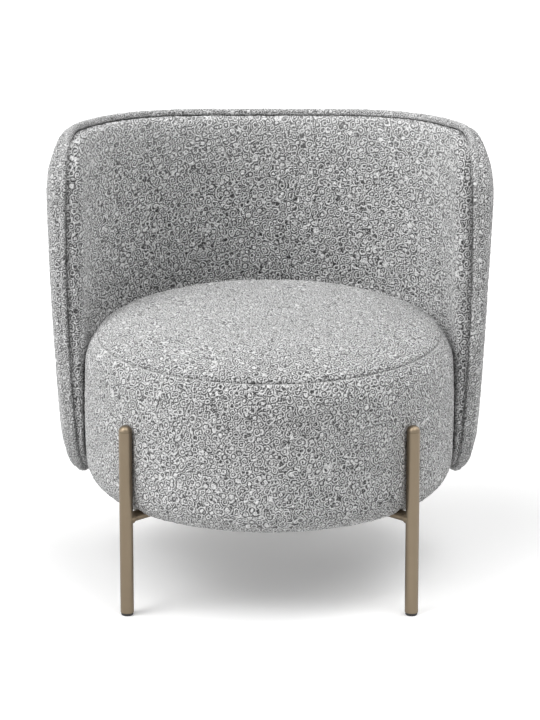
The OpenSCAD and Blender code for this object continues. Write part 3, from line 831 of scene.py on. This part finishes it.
def with_lid(points, u, v, far_r, flip):
    """Closes a back panel with a rim and a plain far face at radius far_r, where the plywood is."""
    n, m = u.shape
    flat = points.reshape(-1, 3)
    rim = grid_rim(n, m)
    base, count = len(flat), len(rim)
    far = back_place(u.ravel()[rim] * LID_SHARE, v.ravel()[rim] * LID_SHARE, far_r)
    middle = back_place(u[1:-1, 0], 0 * u[1:-1, 0], far_r)
    at = {place: base + k for k, place in enumerate(rim)}
    mid_at = base + count
    faces = grid_faces(n, m)
    faces += [[rim[(k + 1) % count], rim[k], base + k, base + (k + 1) % count] for k in range(count)]
    for i in range(1, n - 2):
        low, low_next = at[i * m], at[(i + 1) * m]
        high, high_next = at[i * m + m - 1], at[(i + 1) * m + m - 1]
        mid, mid_next = mid_at + i - 1, mid_at + i
        faces += [[low, mid, mid_next, low_next], [mid, high, high_next, mid_next]]
    last = (n - 1) * m
    faces.append([at[j] for j in range(m)] + [at[m + m - 1], mid_at, at[m]])
    faces.append([at[last + j] for j in range(m - 1, -1, -1)] + [at[last - m], mid_at + n - 3, at[last - 1]])
    if flip:
        faces = [face[::-1] for face in faces]
    return np.concatenate([flat, far, middle]), faces


# Share of the half rise, above the middle, where the low part of the back ends
LOW_END_SHARE = 0.15
# Painted shading beside the back's seam: painted shade in the groove at the level seams, how much more it is
# at the upright ones and how much of that goes low down, then painted shade on the rolls, painted light below
# the top, and painted light on the low edges inside and outside
GROOVE_PAINTED_SHADE = 0.6
GROOVE_UPRIGHT = 1.3
GROOVE_LOW = 0.6
ROLL_PAINTED_SHADE = 0.60
TOP_PAINTED_LIGHT = 0.36
LOW_PAINTED_LIGHT = 0.50
OUTER_LOW_PAINTED_LIGHT = 0.80
# Widths over which they fade, and for three of them the narrow width at the seam where they are nothing
GROOVE_FADE = 0.0014
ROLL_FADE = (0.022, 0.0020)
TOP_FADE = (0.085, 0.0040)
LOW_FADE = (0.10, 0.0030)
OUTER_LOW_FADE = 0.03


def low_down(v):
    """1 low on the back, where its front edges catch light from the floor."""
    return smooth(LOW_END_SHARE - v / HALF_RISE)


def beside_seam(gone, wide, narrow):
    """Near 1 beside the seam and 0 at it and away from it."""
    return seam_shade(gone, wide) - seam_shade(gone, narrow)


def inner_painted_shading(u, v):
    """Painted shade in the groove at the piping and on the upright rolls, painted light below the top edge
    and low down.
    """
    upright, low, gone = outward(u, v)[0] ** 2, low_down(v), inside(u, v)
    groove = (GROOVE_PAINTED_SHADE + upright * (GROOVE_UPRIGHT - GROOVE_LOW * low)) * seam_shade(gone, GROOVE_FADE)
    roll = ROLL_PAINTED_SHADE * upright * (1 - low) * beside_seam(gone, *ROLL_FADE)
    painted_light_top = TOP_PAINTED_LIGHT * (v > 0) * (1 - upright) * beside_seam(gone, *TOP_FADE)
    painted_light_low = LOW_PAINTED_LIGHT * upright * low * beside_seam(gone, *LOW_FADE)
    return groove - painted_light_top + roll - painted_light_low


def outer_painted_shading(u, v):
    """Painted light along the lower part of the front edges."""
    upright = outward(u, v)[0] ** 2
    return -OUTER_LOW_PAINTED_LIGHT * low_down(v) * upright * seam_shade(inside(u, v), OUTER_LOW_FADE)


def make_panel(name, face, bulging, far_r, flip, relief, painted_shading_of, material, press=False):
    u, v = panel_grid()
    coarse_u, coarse_v = u[::COARSE, ::COARSE], v[::COARSE, ::COARSE]
    coarse = back_place(*bulge(coarse_u, coarse_v, *bulging), face(coarse_u, coarse_v))
    closed, faces = with_lid(coarse, coarse_u, coarse_v, far_r, flip)
    held = np.ones(len(closed))
    held[:coarse_u.size] = 1 - smooth((inside(coarse_u, coarse_v).ravel() - PANEL_HELD) / PANEL_LETS_GO)
    moved = puff(closed, faces, held, BACK_SWELL)[:coarse_u.size].reshape(coarse.shape)
    fine = back_place(*bulge(u, v, *bulging), face(u, v)) + refine_both(moved, COARSE, False, False)
    if press:
        fine = press_by_legs(fine)
    points, faces = with_lid(fine, u, v, far_r, flip)
    piece = new_piece(name, points, faces, material)
    # Painted shade and painted light of the panel, for its material
    painted_levels = np.zeros(len(points))
    painted_levels[:u.size] = painted_shading_of(u, v).ravel()
    mark_seam(piece, painted_levels)
    curly_relief(piece, relief)
    return piece


def seam_outline(step):
    """Flattened places and outward directions round the back's seam line."""
    quarter = np.linspace(0, math.pi / 2, int(CORNER_R * math.pi / 2 / step))[:, None]
    level_steps, upright_steps = (np.linspace(-1, 1, int(2 * half / step))[1:-1, None]
                                  for half in (STRAIGHT_RUN, STRAIGHT_RISE))
    parts = []
    for turn, (corner, side) in enumerate((((1, 1), (0, 1)), ((-1, 1), (-1, 0)),
                                           ((-1, -1), (0, -1)), ((1, -1), (1, 0)))):
        a = quarter + turn * math.pi / 2
        out = np.concatenate([np.cos(a), np.sin(a)], axis=1)
        corner_middle = np.array(corner) * [STRAIGHT_RUN, STRAIGHT_RISE]
        parts.append(np.concatenate([corner_middle + CORNER_R * out, out], axis=1))
        along = np.array([-side[1] * STRAIGHT_RUN, side[0] * STRAIGHT_RISE])
        line = np.array(side) * [HALF_RUN, HALF_RISE] + (upright_steps if side[0] else level_steps) * along
        parts.append(np.concatenate([line, np.broadcast_to(side, line.shape)], axis=1))
    return np.concatenate(parts)


# Piping: points round it, how far it sinks into the seam, and the painted shade of the groove beside the
# inner
# panel, in degrees round it: where it lies along the level seams, how much further on along the upright ones,
# its width
PIPING_POINTS = 16
PIPING_SINK = 0.0003
GROOVE_WAY = 290
GROOVE_FURTHER = 24
GROOVE_WIDTH = 15
# How dark that painted groove shade is, and how much more so along the upright seams, then how much painted
# light makes the piping pale, how much less so along the upright seams, and how much of that comes back low
# down
PIPING_PAINTED_SHADE = 1.0
PIPING_PAINTED_SHADE_UPRIGHT = 1.3
PIPING_PAINTED_LIGHT = 0.65
PIPING_PAINTED_LIGHT_UPRIGHT = 0.30
PIPING_PAINTED_LIGHT_LOW = 0.25


def make_piping(material):
    outline = seam_outline(GRAIN)
    u, v, out_x, out_y = (outline[:, k:k + 1] for k in range(4))
    around = np.arange(PIPING_POINTS)[None, :] / PIPING_POINTS * 2 * math.pi
    past = PIPING_R - PIPING_SINK + PIPING_R * np.cos(around)
    r = rim_radius(u, v) + PIPING_R + PIPING_R * np.sin(around)
    points = back_place(u + past * out_x, v + past * out_y, r)
    n, m = points.shape[:2]
    piece = new_piece("back_seam_piping", points, grid_faces(n, m, True, True), material)
    # Painted shade in the groove beside the inner panel, and painted light over the piping, less along the
    # upright seams
    upright = out_x ** 2
    from_groove = np.degrees(around) - GROOVE_WAY - GROOVE_FURTHER * upright
    groove = (PIPING_PAINTED_SHADE + PIPING_PAINTED_SHADE_UPRIGHT * upright) * np.exp(-(from_groove / GROOVE_WIDTH) ** 2)
    painted_light = PIPING_PAINTED_LIGHT - (PIPING_PAINTED_LIGHT_UPRIGHT - PIPING_PAINTED_LIGHT_LOW * low_down(v)) * upright
    mark_seam(piece, (groove - painted_light).ravel())
    curly_relief(piece, PIPING_RELIEF)
    return piece


# Materials of the frame
def satin_bronze(nodes, place):
    """Brushed metal, with a fine dark line where a cap sits on its tube."""
    streak = nodes.noise(nodes.stretch(place, (1.0, 1.0, 0.06)), 900.0, 3.0)
    cloud = nodes.noise(place, 30.0)
    metal = nodes.mix(cloud, (0.195, 0.155, 0.108, 1), (0.222, 0.178, 0.126, 1))
    joint = 1.0 - nodes.step((nodes.part(place, "Z") - CAP_Z).size(), 0.0003, 0.0009)
    colour = nodes.mix(joint * 0.35, metal, (0.03, 0.024, 0.018, 1))
    return {"Base Color": colour, "Roughness": 0.30 + streak * 0.16,
            "Normal": nodes.bump(0.05, 0.0003, streak)}


def plywood(nodes, place):
    layer = nodes.add("ShaderNodeTexWave", {"wave_type": "BANDS", "bands_direction": "Z"},
                      {"Vector": place, "Scale": 110.0, "Distortion": 0.6, "Detail": 2.0,
                       "Detail Scale": 4.0}, "Fac")
    grain = nodes.noise(nodes.stretch(place, (6.0, 60.0, 60.0)), 8.0, 5.0)
    face = nodes.mix(grain, (0.47, 0.31, 0.16, 1), (0.66, 0.48, 0.29, 1))
    colour = nodes.mix(layer * 0.35, face, (0.33, 0.20, 0.10, 1))
    return {"Base Color": colour, "Roughness": 0.5 + grain * 0.2, "Normal": nodes.bump(0.2, 0.0005, grain)}


def strap_weave(nodes, place):
    across, along = ((nodes.part(place, axis) * 2200.0).sine() for axis in ("X", "Y"))
    weave = across * along * 0.5 + 0.5
    colour = nodes.mix(weave, (0.012, 0.012, 0.013, 1), (0.045, 0.043, 0.04, 1))
    return {"Base Color": colour, "Normal": nodes.bump(0.5, 0.0005, weave)}


def felted_black(nodes, place):
    fibre = nodes.noise(place, 600.0, 4.0, 0.7)
    dimple = nodes.add("ShaderNodeTexVoronoi", {}, {"Vector": place, "Scale": 420.0})
    colour = nodes.mix(fibre, (0.012, 0.012, 0.013, 1), (0.035, 0.035, 0.037, 1))
    return {"Base Color": colour, "Roughness": 0.75 + fibre * 0.2, "Normal": nodes.bump(0.4, 0.0004, dimple)}


def moulded_black(nodes, place):
    fine = nodes.noise(place, 1500.0)
    colour = nodes.mix(fine, grey(0.012), grey(0.022))
    return {"Base Color": colour, "Roughness": 0.4 + fine * 0.15, "Normal": nodes.bump(0.15, 0.0002, fine)}


def zinc(nodes, place):
    spangle = nodes.noise(place, 260.0, 3.0)
    colour = nodes.mix(spangle, (0.50, 0.51, 0.53, 1), (0.66, 0.67, 0.69, 1))
    return {"Base Color": colour, "Roughness": 0.28 + spangle * 0.2}


CLOTH = {"Roughness": 0.95, "Specular IOR Level": 0.25, "Sheen Weight": 0.6, "Sheen Roughness": 0.5}
COVER = new_material("curly_cover", boucle, **CLOTH)
INSIDE_COVER = new_material("curly_cover_inside", boucle_inside, **CLOTH)
OUTSIDE_COVER = new_material("curly_cover_outside", boucle_outside, **CLOTH)
BRONZE = new_material("satin_bronze", satin_bronze, Metallic=1.0)
PLYWOOD = new_material("birch_plywood", plywood)
STRAPS = new_material("elastic_strap", strap_weave, Roughness=0.8)
FELT = new_material("dust_cloth_black", felted_black)
PLASTIC = new_material("moulded_black", moulded_black)
ZINC = new_material("zinc_plate", zinc, Metallic=1.0)

FINISHES = {"leg_tube": BRONZE, "leg_cap": BRONZE, "leg_arm": BRONZE, "leg_plate": BRONZE,
            "leg_glide": PLASTIC, "base_board": PLYWOOD, "top_ring": PLYWOOD, "back_shell": PLYWOOD,
            "post": PLYWOOD, "webbing": STRAPS, "back_spacers": ZINC, "back_bolts": ZINC,
            "plate_screws": ZINC}
for name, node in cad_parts.items():
    for start, finish in FINISHES.items():
        if name.startswith(start):
            node.data.materials.clear()
            node.data.materials.append(finish)

# Small soft pieces: radius of the dust cloth's flat middle, width of its turned edge, its sag, and how deep
# its puckers are, where they start, over what width they come in, and how many there are
CLOTH_MIDDLE = 0.02
CLOTH_EDGE = 0.002
CLOTH_SAG = 0.0006
PUCKER = 0.0005
PUCKER_FROM = 0.17
PUCKER_FADE = 0.06
PUCKERS = 24
# Gap that the dust cloth keeps to the board, and the rings and spokes of its mesh
CLOTH_GAP = 0.0001
CLOTH_RINGS = 30
CLOTH_SPOKES = 180
# The straps' spacing, half width and least half length, how much shorter their ends are cut, and the height
# and number of their slight waves
STRAP_PITCH = 0.125
STRAP_HALF = 0.03
STRAP_LEAST = 0.1
STRAP_CUT = 0.001
STRAP_WAVE = 0.0003
STRAP_WAVES = 11
# Points along a strap and across it
STRAP_STEPS = 41
STRAP_ACROSS = 7


def make_dust_cloth(material):
    """The thin cloth stretched under the board, with a soft turned edge and a slight sag."""
    low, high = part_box("dust_cover")
    r_edge, top, thin = (high.x - low.x) / 2, high.z, high.z - low.z
    r = np.concatenate([np.linspace(CLOTH_MIDDLE, r_edge - 2 * CLOTH_EDGE, CLOTH_RINGS),
                        [r_edge - CLOTH_EDGE, r_edge]])
    a = (np.arange(CLOTH_SPOKES) / CLOTH_SPOKES * 2 * math.pi)[:, None]
    pucker = PUCKER * np.sin(PUCKERS * a) * smooth((r - PUCKER_FROM) / PUCKER_FADE)
    z = top - thin - CLOTH_SAG * (1 - (r / r_edge) ** 2) - np.abs(pucker)
    bottom = np.stack([r * np.sin(a), SEAT_Y + r * np.cos(a), z], axis=2)
    upper = bottom.copy()
    upper[..., 2] = top - CLOTH_GAP
    points = np.concatenate([bottom, upper[:, ::-1]], axis=1)
    n, m = points.shape[:2]
    faces = [face[::-1] for face in grid_faces(n, m, True, False)]
    first = [i * m for i in range(n)]
    last = [i * m + m - 1 for i in range(n)]
    return new_piece("underside_cloth", points, faces + [first, last[::-1]], material)


def make_straps(name, node, along_x, material):
    """Three elastic straps, each a thin band with slight waves along it."""
    low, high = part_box(node)
    thin = high.z - low.z
    reach = min(high.x - low.x, high.y - low.y) / 2
    s = np.linspace(-1, 1, STRAP_STEPS)[:, None]
    w = np.linspace(-STRAP_HALF, STRAP_HALF, STRAP_ACROSS)
    ring_w = np.concatenate([w, w[::-1]])
    ring_up = np.repeat([0.0, 1.0], len(w))
    wave = STRAP_WAVE * np.cos(s * STRAP_WAVES * math.pi)
    z = low.z + STRAP_WAVE + ring_up * (thin - 2 * STRAP_WAVE) + wave
    points, faces = [], []
    for k in (-1, 0, 1):
        offset = k * STRAP_PITCH
        half = math.sqrt(max(reach ** 2 - (abs(offset) + STRAP_HALF) ** 2, STRAP_LEAST ** 2)) - STRAP_CUT
        across = offset + ring_w + 0 * s
        along = s * half + 0 * across
        grid = np.stack([along, across + SEAT_Y, z] if along_x else [across, along + SEAT_Y, z], axis=2)
        n, m = grid.shape[:2]
        base = len(points)
        points += grid.reshape(-1, 3).tolist()
        caps = [list(range(m))[::-1], [(n - 1) * m + j for j in range(m)]]
        turn = 1 if along_x else -1
        faces += [[base + q for q in face][::turn] for face in grid_faces(n, m, False, True) + caps]
    return new_piece(name, np.array(points), faces, material)


# Put the pieces on the frame
seat_top = make_seat_top(COVER)
seat_side = make_seat_side(COVER)
back_inner = make_panel("back_inner_padding", inner_face, INNER_BULGE, far_r=PLY_IN_R - PLY_CLEAR, flip=False,
                        relief=COVER_RELIEF, painted_shading_of=inner_painted_shading, material=INSIDE_COVER)
back_outer = make_panel("back_outer_padding", outer_face, OUTER_BULGE, far_r=PLY_OUT_R + PLY_CLEAR, flip=True,
                        relief=OUTER_RELIEF, painted_shading_of=outer_painted_shading, material=OUTSIDE_COVER, press=True)
piping = make_piping(OUTSIDE_COVER)
cloth = make_dust_cloth(FELT)
straps_long = make_straps("webbing_straps_long", "webbing_lengthwise", False, STRAPS)
straps_cross = make_straps("webbing_straps_cross", "webbing_crosswise", True, STRAPS)

for piece, nodes, slot in (
        (seat_top, ["seat_top_cover", "seat_pad"], "boucle"),
        (seat_side, ["seat_side_cover", "seat_side_foam"], "boucle"),
        (back_inner, ["back_inner_cover", "back_inner_foam"], "boucle"),
        (back_outer, ["back_outer_cover", "back_outer_foam"], "boucle"),
        (piping, ["back_piping"], "boucle"),
        (cloth, ["dust_cover"], "dust_fabric"),
        (straps_long, ["webbing_lengthwise"], "webbing"),
        (straps_cross, ["webbing_crosswise"], "webbing")):
    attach(piece, "root")
    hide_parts(*nodes)

# Floor, light and camera. Each soft light has its strength, the way that it lies (degrees from the front to
# the right, and up) and how wide it is. The sky lights nothing.
LIGHTS = {"left_light": (0.72, -75, 55, 40), "left_low_light": (0.38, -92, 12, 30),
          "left_front_light": (1.15, -60, 35, 40), "left_high_light": (0.79, -45, 60, 40),
          "right_high_light": (1.05, 45, 60, 40), "right_top_light": (0.60, 110, 70, 40),
          "right_rear_light": (0.79, 120, 35, 40)}
SKY_STRENGTH = 0.0
FLOOR_HALF = 30.0
FLOOR_PALE = 0.96
FLOOR_GLOW = 0.23
FLOOR_BOUNCE = 0.75
# Camera: angle down, distance, the place it looks at, and its lens in pixels of a picture of this width
VIEW_DOWN = math.radians(17)
DISTANCE = 6.56
AIM = Vector((0.0011, SEAT_Y, 0.3659))
LENS_PIXELS = 3990
PICTURE_PIXELS = 540
SENSOR = 36


def seen_plainly(nodes):
    """1 for what the camera, metal or glass sees, and 0 for what lights the object."""
    path = nodes.add("ShaderNodeLightPath", out="Is Camera Ray")
    return path.most(path.output("Is Glossy Ray")).most(path.output("Is Transmission Ray"))


def make_sky():
    world = bpy.data.worlds.new("studio")
    bpy.context.scene.world = world
    world.use_nodes = True
    world.node_tree.nodes.clear()
    sky = Nodes(world.node_tree)
    white = sky.add("ShaderNodeBackground", {}, {"Color": grey(1.0), "Strength": 1.0})
    dim = sky.add("ShaderNodeBackground", {}, {"Color": grey(1.0), "Strength": SKY_STRENGTH})
    shown = sky.add("ShaderNodeMixShader", {}, {0: seen_plainly(sky), 1: dim, 2: white})
    sky.add("ShaderNodeOutputWorld", {}, {"Surface": shown})


def make_floor():
    corners = np.array([[-1, -1, 0], [1, -1, 0], [1, 1, 0], [-1, 1, 0]]) * FLOOR_HALF
    material = bpy.data.materials.new("pale_floor")
    material.use_nodes = True
    material.node_tree.nodes.clear()
    paint = Nodes(material.node_tree)
    lit = paint.add("ShaderNodeBsdfDiffuse", {}, {"Color": grey(FLOOR_PALE)})
    glowing = paint.add("ShaderNodeEmission", {}, {"Color": grey(FLOOR_GLOW), "Strength": 1.0})
    bright = paint.add("ShaderNodeAddShader", {}, {0: lit, 1: glowing})
    bouncing = paint.add("ShaderNodeBsdfDiffuse", {}, {"Color": grey(FLOOR_BOUNCE)})
    shown = paint.add("ShaderNodeMixShader", {}, {0: seen_plainly(paint), 1: bouncing, 2: bright})
    paint.add("ShaderNodeOutputMaterial", {}, {"Surface": shown})
    new_piece("floor", corners, [[0, 1, 2, 3]], material)


def make_lights():
    for name, (strength, around, up, wide) in LIGHTS.items():
        light = bpy.data.lights.new(name, "SUN")
        light.energy = strength
        light.angle = math.radians(wide)
        lamp = bpy.data.objects.new(name, light)
        lamp.rotation_euler = (math.radians(90 - up), 0, math.radians(around))
        bpy.context.scene.collection.objects.link(lamp)


def make_camera():
    camera_data = bpy.data.cameras.new("camera")
    camera_data.sensor_fit = "HORIZONTAL"
    camera_data.sensor_width = SENSOR
    camera_data.lens = SENSOR * LENS_PIXELS / PICTURE_PIXELS
    camera = bpy.data.objects.new("camera", camera_data)
    camera.location = AIM + DISTANCE * Vector((0, -math.cos(VIEW_DOWN), math.sin(VIEW_DOWN)))
    camera.rotation_euler = (AIM - camera.location).to_track_quat("-Z", "Y").to_euler()
    bpy.context.scene.collection.objects.link(camera)
    bpy.context.scene.camera = camera


make_sky()
make_floor()
make_lights()
make_camera()
bpy.context.scene.view_settings.view_transform = "Standard"
